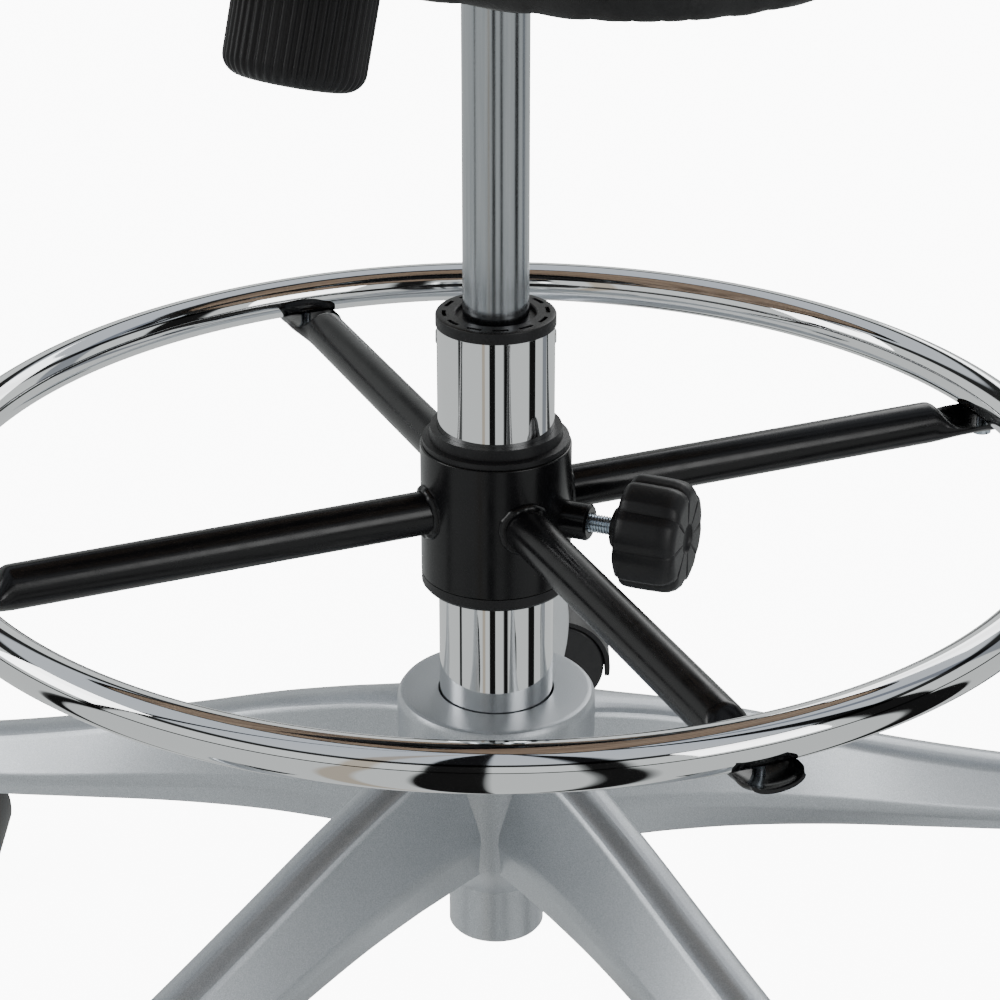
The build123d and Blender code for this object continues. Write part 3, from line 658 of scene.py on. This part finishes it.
def leg_row(out):
    """The table's row at any distance out, on a smooth curve through the rows."""
    k = max(i for i in range(len(LEG_TABLE) - 1) if LEG_TABLE[i][0] <= out or i == 0)
    before, a, b, after = (LEG_TABLE[min(max(k + j, 0), len(LEG_TABLE) - 1)] for j in (-1, 0, 1, 2))
    t = (out - a[0]) / (b[0] - a[0])
    row = []
    for p0, p1, p2, p3 in list(zip(before, a, b, after))[1:]:
        slope_a = (p2 - p0) / max(b[0] - before[0], 1e-6) * (b[0] - a[0])
        slope_b = (p3 - p1) / max(after[0] - a[0], 1e-6) * (b[0] - a[0])
        row.append((2 * t**3 - 3 * t**2 + 1) * p1 + (t**3 - 2 * t**2 + t) * slope_a
                   + (3 * t**2 - 2 * t**3) * p2 + (t**3 - t**2) * slope_b)
    return row


def rounded(corners, steps=5):
    """Points of an open outline whose inner corners (y, z, radius) are rounded."""
    points = [corners[0][:2]]
    for (y0, z0, _), (y1, z1, r), (y2, z2, _) in zip(corners, corners[1:], corners[2:]):
        to_last = Vector((y0 - y1, z0 - z1))
        to_next = Vector((y2 - y1, z2 - z1))
        start = Vector((y1, z1)) + to_last.normalized() * min(r, to_last.length * 0.45)
        end = Vector((y1, z1)) + to_next.normalized() * min(r, to_next.length * 0.45)
        for i in range(steps):
            t = i / (steps - 1)
            point = start * (1 - t) ** 2 + Vector((y1, z1)) * 2 * t * (1 - t) + end * t ** 2
            points.append((point.x, point.y))
    return points + [corners[-1][:2]]


def leg_half_outline(out):
    """Half of the section, from the middle of the underside up to the ridge."""
    top, low, ridge, crease_w, low_w = leg_row(out)
    crease = low + CREASE_SHARE * (top - low)
    recess = UNDERSIDE_DEPTH * ease(60, 80, out) * (1 - ease(280, 296, out))
    return rounded([
        (0, low + recess, 0), (low_w - 3.4, low + recess, 1.5), (low_w - 2.6, low, 0.7), (low_w, low, 1.0),
        (crease_w, crease, 4.0), (ridge + 2.0, top - 2.4, 3.2), (ridge * 0.45, top, 2.0), (0, top + 0.25, 0)])


LEG_POINTS = 2 * len(leg_half_outline(100)) - 2


def leg_point(out, turn):
    """One point of the closed section, found by its place round the ring."""
    half = leg_half_outline(out)
    index = round(turn / (2 * math.pi) * LEG_POINTS) % LEG_POINTS
    if index < len(half):
        y, z = half[index]
    else:
        y, z = half[LEG_POINTS - index]
        y = -y
    return out, y, z


# %% Base legs and hub
LEG_TURNS = (54, 126, 198, 270, 342)
leg_stations = [ROOT_OUT + i * (NOSE_OUT - ROOT_OUT) / 72 for i in range(73)]
leg_stations += [314, 317, 320, 322.5, 324.5, 326, 327]
leg_parts = []
for turn in LEG_TURNS:
    leg_bm = loft(leg_point, leg_stations, LEG_POINTS)
    leg_parts.append(place(leg_bm, about("Z", turn)))
HUB_LOW, HUB_TOP = 49, 170
BARREL_R, BOSS_R = 21.5, 44
hub = lathe([(18.6, HUB_LOW), (20.6, HUB_LOW), (BARREL_R, HUB_LOW + 1.2), (BARREL_R, 75.6), (22.2, 76.4),
             (23.4, 78), (40, 98), (42, 112), (42.2, 125), (BOSS_R, 150), (BOSS_R, 165), (43.6, 167.6),
             (42.4, 169.3), (40.4, HUB_TOP), (25.7, HUB_TOP), (25.6, 164), (25.1, 163)], 160)
base = join(hub, *leg_parts)
piece("base_casting", base, silver, "base", ["base_star"], angle=32)

# %% [markdown]
# ## Spokes
# Each spoke is a tube whose end is pressed into a spoon under the hoop. The section is round at first,
# then it grows wider while its upper wall is pushed down inside the lower one. Near the tip the floor
# of the spoon rises a little, and its rims stay just under the hoop.

# %% Spokes
SPOKE_TURNS = (63, 153, 243, 333)
SPOKE_Z = 261.2
SPOKE_R = 9.5
PRESS_START, PRESS_END, SPOON_END = 213.0, 232.0, 258.0
SPOON_HALF_WIDTH = 13.5
WALL_LIP = 1.7
FLOOR_RISE, TIP_RISE, TIP_NARROW = 2.7, 1.8, 2.5
HOOP_GAP, RIM_PROUD = 0.15, 1.2


def under_hoop(x):
    """How high the spoon may reach at this distance out, just under the hoop."""
    across = x - HOOP_R
    if abs(across) >= TUBE_R:
        return SPOKE_Z + RIM_PROUD
    return HOOP_Z - math.sqrt(TUBE_R ** 2 - across ** 2) - HOOP_GAP


def spoke_section(x, turn):
    """A round tube whose top is pressed down into a spoon near its end."""
    press = ease(PRESS_START, PRESS_END, x)
    tip = ease(SPOON_END - 7, SPOON_END, x)
    half = SPOKE_R + (SPOON_HALF_WIDTH - SPOKE_R) * press - TIP_NARROW * tip
    rim = SPOKE_Z * (1 - press) + min(SPOKE_Z, under_hoop(x)) * press
    floor_z = SPOKE_Z - SPOKE_R + FLOOR_RISE * press + TIP_RISE * tip
    rise, across = math.sin(turn), math.cos(turn)
    if rise <= 0:
        return x, half * across, rim + (rim - floor_z) * rise
    lip = WALL_LIP * press * min(1, rise * 5)
    above = SPOKE_R * (1 - press) - (rim - floor_z - WALL_LIP) * press
    return x, (half - lip) * across, rim + above * rise


spoke_stations = [27, 34, 60, 95, 130, 165, 190, 205]
spoke_stations += [PRESS_START + i * 1.5 for i in range(30)] + [257, SPOON_END]
for number, turn in enumerate(SPOKE_TURNS, start=1):
    bm = loft(spoke_section, spoke_stations, 56)
    place(bm, about("Z", turn))
    piece(f"spoke_{number}", bm, enamel, "foot_ring", angle=50)

# %% [markdown]
# A weld bead is a lumpy ring where a spoke meets the collar. A small circle is spun round the spoke, its
# points are pushed out to the curve of the collar, and seeded noise gives the ripples of the weld.

# %% Weld beads
BEAD_R, BEAD_OUT = 2.4, 0.5       # the bead's own radius and how far it sits outside the spoke


def weld_bead(seed):
    """One lumpy ring round a spoke that points along x."""
    bm = bmesh.new()
    bmesh.ops.create_circle(bm, segments=14, radius=BEAD_R * MM)
    place(bm, about("X", 90), shift(0, 0, SPOKE_R + BEAD_OUT))
    bmesh.ops.spin(bm, geom=bm.verts[:] + bm.edges[:], cent=(0, 0, 0), axis=(1, 0, 0), angle=2 * math.pi,
                   steps=120, use_merge=True)
    for vert in bm.verts:
        along, y, z = vert.co / MM
        turn = math.atan2(z, y)
        ripple = 0.22 * math.sin(turn * 13 + seed) + 0.9 * noise.noise(Vector((y, z, seed)) * 0.16)
        reach = math.hypot(y, z) - SPOKE_R - BEAD_OUT
        swell = 1 + 0.28 * ripple
        y, z = (c * (SPOKE_R + 0.3 + 0.9 * reach * swell) / math.hypot(y, z) for c in (y, z))
        wall_x = math.sqrt(COLLAR_R ** 2 - min(y * y, 900)) - 0.3
        vert.co = Vector((wall_x + along * swell, y, z + SPOKE_Z)) * MM
    bmesh.ops.recalc_face_normals(bm, faces=bm.faces)
    return bm


for number, turn in enumerate(SPOKE_TURNS, start=1):
    bm = place(weld_bead(number * 2.7), about("Z", turn))
    piece(f"weld_bead_{number}", bm, enamel, "foot_ring", angle=60)

# %% [markdown]
# The nut is a plain round boss welded into the collar between two spokes. It is spun about z like the
# other round pieces, then laid down along x and turned to its bearing.

# %% Clamp nut
CLAMP_TURN, CLAMP_Z = 18, 258
bm = lathe([(4.05, 28), (8.0, 28), (8.0, 42.6), (7.0, 43.6), (4.7, 43.6), (4.05, 43.0)], 64)
place(bm, LAY_ALONG_X, shift(0, 0, CLAMP_Z), about("Z", CLAMP_TURN))
soften(bm, 0.15, 2, 25)
piece("clamp_nut", bm, enamel, "foot_ring")

# %% [markdown]
# ## Clamp screw and knob
# The screw is a real helix: one V of the thread is spun many times round while each step also moves it
# along, so every turn ends where the next begins.

# %% Clamp screw
THREAD_PITCH, THREAD_R, THREAD_ROOT = 1.25, 4.0, 3.35
SCREW_FROM, SCREW_TO = 25.4, 70.0
turns = int((SCREW_TO - SCREW_FROM) / THREAD_PITCH)
STEPS_PER_TURN = 28
bm = bmesh.new()
vee = [(THREAD_ROOT, 0), (THREAD_ROOT, 0.16), (THREAD_R, 0.55), (THREAD_R, 0.70),
       (THREAD_ROOT, THREAD_PITCH)]
verts = [bm.verts.new((r * MM, 0, z * MM)) for r, z in vee]
edges = [bm.edges.new(pair) for pair in zip(verts, verts[1:])]
bmesh.ops.spin(bm, geom=verts + edges, cent=(0, 0, 0), axis=(0, 0, 1), angle=2 * math.pi * turns,
               dvec=(0, 0, THREAD_PITCH * MM / STEPS_PER_TURN), steps=STEPS_PER_TURN * turns)
bmesh.ops.remove_doubles(bm, verts=bm.verts, dist=2e-6)
bmesh.ops.holes_fill(bm, edges=[e for e in bm.edges if e.is_boundary], sides=0)
bmesh.ops.recalc_face_normals(bm, faces=bm.faces)
place(bm, shift(0, 0, SCREW_FROM), LAY_ALONG_X, shift(0, 0, CLAMP_Z), about("Z", CLAMP_TURN))
piece("clamp_thread", bm, zinc, "ring_clamp", ["clamp_screw"], angle=40)

# %% [markdown]
# The knob is a moulded drum with eight shallow lobes for the fingers. Its outline along the axis is a
# table, and each row says how deep the lobes are cut there, so they fade out into the flat faces.

# %% Clamp knob
KNOB_R, LOBES, LOBE_DEPTH, CREASE_DEPTH = 24.3, 8, 1.3, 0.5
FACE_OUT, FACE_NOTCH = 86, 0.9
# Along the knob's axis: (distance out, radius, how deep the lobes are cut, 0 to 1).
CLAMP_PROFILE = [
    (54.6, 4.3, 0), (54.6, 8.4, 0), (55.2, 9.0, 0), (59.4, 9.0, 0), (60.1, 10.0, 0), (60.1, 19.0, 0.6),
    (60.4, 21.4, 0.85), (61.4, 23.2, 1), (63.2, 24.1, 1), (65.5, 24.3, 1), (72, 24.3, 1), (79, 24.1, 1),
    (82, 23.7, 1), (84.4, 22.6, 1), (86.2, 20.8, 0.9), (87.0, 18.6, 0.75), (87.1, 16.6, 0.3),
    (87.1, 15, 0), (87.1, 12, 0), (87.1, 8.0, 0),
    (86.9, 6.5, 0), (85.9, 5.9, 0), (85.3, 5.2, 0), (85.2, 3.0, 0), (85.2, 0.4, 0)]


def clamp_knob_section(station, turn):
    """A circle with lobes; the outer face has short notches between them."""
    out, radius, cut = CLAMP_PROFILE[station]
    hollow = max(0, math.cos(turn * LOBES)) ** 1.4
    crease = max(0, math.cos(turn * LOBES)) ** 40
    radius -= (LOBE_DEPTH * hollow + CREASE_DEPTH * crease) * cut * min(1, radius / KNOB_R)
    if 7 < radius < 17 and out > FACE_OUT:
        out -= FACE_NOTCH * max(0, math.cos(turn * LOBES)) ** 24
    return out, radius * math.cos(turn), radius * math.sin(turn)


bm = loft(clamp_knob_section, list(range(len(CLAMP_PROFILE))), 256)
place(bm, shift(0, 0, CLAMP_Z), about("Z", CLAMP_TURN))
piece("lobed_clamp_knob", bm, moulded, "ring_clamp", ["clamp_knob"], angle=40)

# %% [markdown]
# ## Tension knob
# The big knob under the seat sets how hard the seat springs. It is a cup with many fine ribs along its
# side, so the hand can grip it. The ribs are part of the section that is drawn along the knob's axis.

# %% Tension knob
TENSION_FOOT = (0, -118, 474)
TENSION_LEAN = 16
TENSION_R, TENSION_RIBS, RIB_DEPTH = 27.3, 46, 0.55
# Each row: height along the knob, radius, how far the ribs stand out.
tension_profile = [(0, 1.0, 0), (0, 15, 0), (0.1, 18.4, 0)]
tension_profile += [(8 - 8 * math.cos(a), 19.3 + 8 * math.sin(a), ease(0.3, 1.3, a))
                    for a in [i * math.pi / 20 for i in range(1, 11)]]
tension_profile += [(h, TENSION_R, 1) for h in (14, 20, 26, 32, 37)]
tension_profile += [(39.2, 27.0, 0.8), (39.8, 26.4, 0.3), (40, 25.4, 0), (40, 7, 0)]


def tension_section(station, turn):
    """A circle with fine, flat-topped ribs."""
    height, radius, ribbed = tension_profile[station]
    wave = math.cos(turn * TENSION_RIBS)
    radius -= RIB_DEPTH * ribbed * (1 - math.copysign(abs(wave) ** 0.6, wave))
    return radius * math.cos(turn), radius * math.sin(turn), height


bm = loft(tension_section, list(range(len(tension_profile))), TENSION_RIBS * 12)
place(bm, about("X", -TENSION_LEAN), shift(*TENSION_FOOT))
piece("ribbed_tension_knob", bm, moulded, "tension", ["tension_knob"], angle=50)

# %% [markdown]
# ## Seat and back cushions
# A cushion is foam in a leather cover, so it swells where nothing holds it. A copy of the CAD pad is
# remeshed evenly and blown up a little as cloth. The movement is capped, so the pad keeps its place,
# and a line is then pressed into its sides where the cover's panels are sewn together.

# %% Cushion helpers
def cad_copy(node):
    """A merged bmesh copy of a CAD node."""
    bm = bmesh.new()
    bm.from_mesh(frame["nodes"][node].data)
    bmesh.ops.remove_doubles(bm, verts=bm.verts, dist=1e-5)
    bmesh.ops.recalc_face_normals(bm, faces=bm.faces)
    return bm


def apply_modifiers(obj):
    """Freezes an object's modifiers into its mesh."""
    graph = bpy.context.evaluated_depsgraph_get()
    graph.update()
    frozen = bpy.data.meshes.new_from_object(obj.evaluated_get(graph), depsgraph=graph)
    obj.modifiers.clear()
    spent = obj.data
    obj.data = frozen
    bpy.data.meshes.remove(spent)


VOXEL = 0.006           # metres between the points of a cushion
PRESSURE, BLOW_STEPS = 4.0, 20
SWELL_CAP = 9           # millimetres


def blown_cushion(name, node, held=None):
    """A leather cushion made from a CAD pad; held(point) is 0 where the cover can't move, else up to 1."""
    bm = cad_copy(node)
    mesh = bpy.data.meshes.new(name)
    bm.to_mesh(mesh)
    bm.free()
    cushion = bpy.data.objects.new(name, mesh)
    bpy.context.scene.collection.objects.link(cushion)
    remesh = cushion.modifiers.new("even", "REMESH")
    remesh.mode = "VOXEL"
    remesh.voxel_size = VOXEL
    apply_modifiers(cushion)
    start = [vert.co.copy() for vert in cushion.data.vertices]
    cloth = cushion.modifiers.new("blow", "CLOTH")
    cloth.settings.use_pressure = True
    cloth.settings.uniform_pressure_force = PRESSURE
    cloth.settings.effector_weights.gravity = 0
    scene = bpy.context.scene
    for step in range(1, BLOW_STEPS + 1):
        scene.frame_set(step)
    apply_modifiers(cushion)
    scene.frame_set(1)
    for vert, home in zip(cushion.data.vertices, start):
        move = vert.co - home
        give = SWELL_CAP * MM * (held(home) if held else 1)
        if move.length > give:
            move = move.normalized() * give
        vert.co = home + move
    cushion.data.materials.clear()
    cushion.data.materials.append(leather)
    return cushion


SEAM_DEPTH, SEAM_WIDTH = 1.6, 2.2


def press_seam(cushion, seam, level_of):
    """Presses a sewn line into a cushion's sides, where level_of(point) comes near the seam's level."""
    outward = [vert.normal.copy() for vert in cushion.data.vertices]
    for vert, normal in zip(cushion.data.vertices, outward):
        level = level_of(vert.co) - seam
        vert.co -= normal * SEAM_DEPTH * MM * math.exp(-(level / (SEAM_WIDTH * MM)) ** 2)


def finish_cushion(cushion, body, node, seam, level_of):
    """Smooths a cushion, presses its seam and hands it over to its body."""
    subdivision = cushion.modifiers.new("smooth", "SUBSURF")
    subdivision.levels = subdivision.render_levels = 1
    apply_modifiers(cushion)
    press_seam(cushion, seam, level_of)
    cushion.data.shade_smooth()
    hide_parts(node)
    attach(cushion, body)
    print(f"{cushion.name}: {len(cushion.data.polygons)} faces")


# %% [markdown]
# The seat's cover is stapled under its board, so the underside stays flat while the top and the sides
# swell. The seam runs round the seat a little below its top.

# %% Seat cushion
SEAT_SEAM_Z = 0.607
STAPLED_BELOW, FREE_ABOVE = 0.552, 0.590


def seat_hold(point):
    """The underside is stapled flat; the top and sides may swell."""
    return ease(STAPLED_BELOW, FREE_ABOVE, point.z)


seat_pad = blown_cushion("seat_pad", "seat_cushion", held=seat_hold)
finish_cushion(seat_pad, "seat", "seat_cushion", SEAT_SEAM_Z, lambda point: point.z)

# %% [markdown]
# The backrest leans back, so its seam is found by depth square to that lean. Its whole cover may
# swell, because a moulded shell behind it hides the edge.

# %% Back cushion
RECLINE = math.radians(8)
BACK_SEAM_DEPTH = 0.017


def back_depth(point):
    """How far back a point lies, measured square to the reclined backrest."""
    return point.y * math.cos(RECLINE) - point.z * math.sin(RECLINE)


back_front = min(back_depth(vert.co) for vert in frame["nodes"]["back_cushion"].data.vertices)
back_pad = blown_cushion("back_pad", "back_cushion")
finish_cushion(back_pad, "back", "back_cushion", back_front + BACK_SEAM_DEPTH, back_depth)
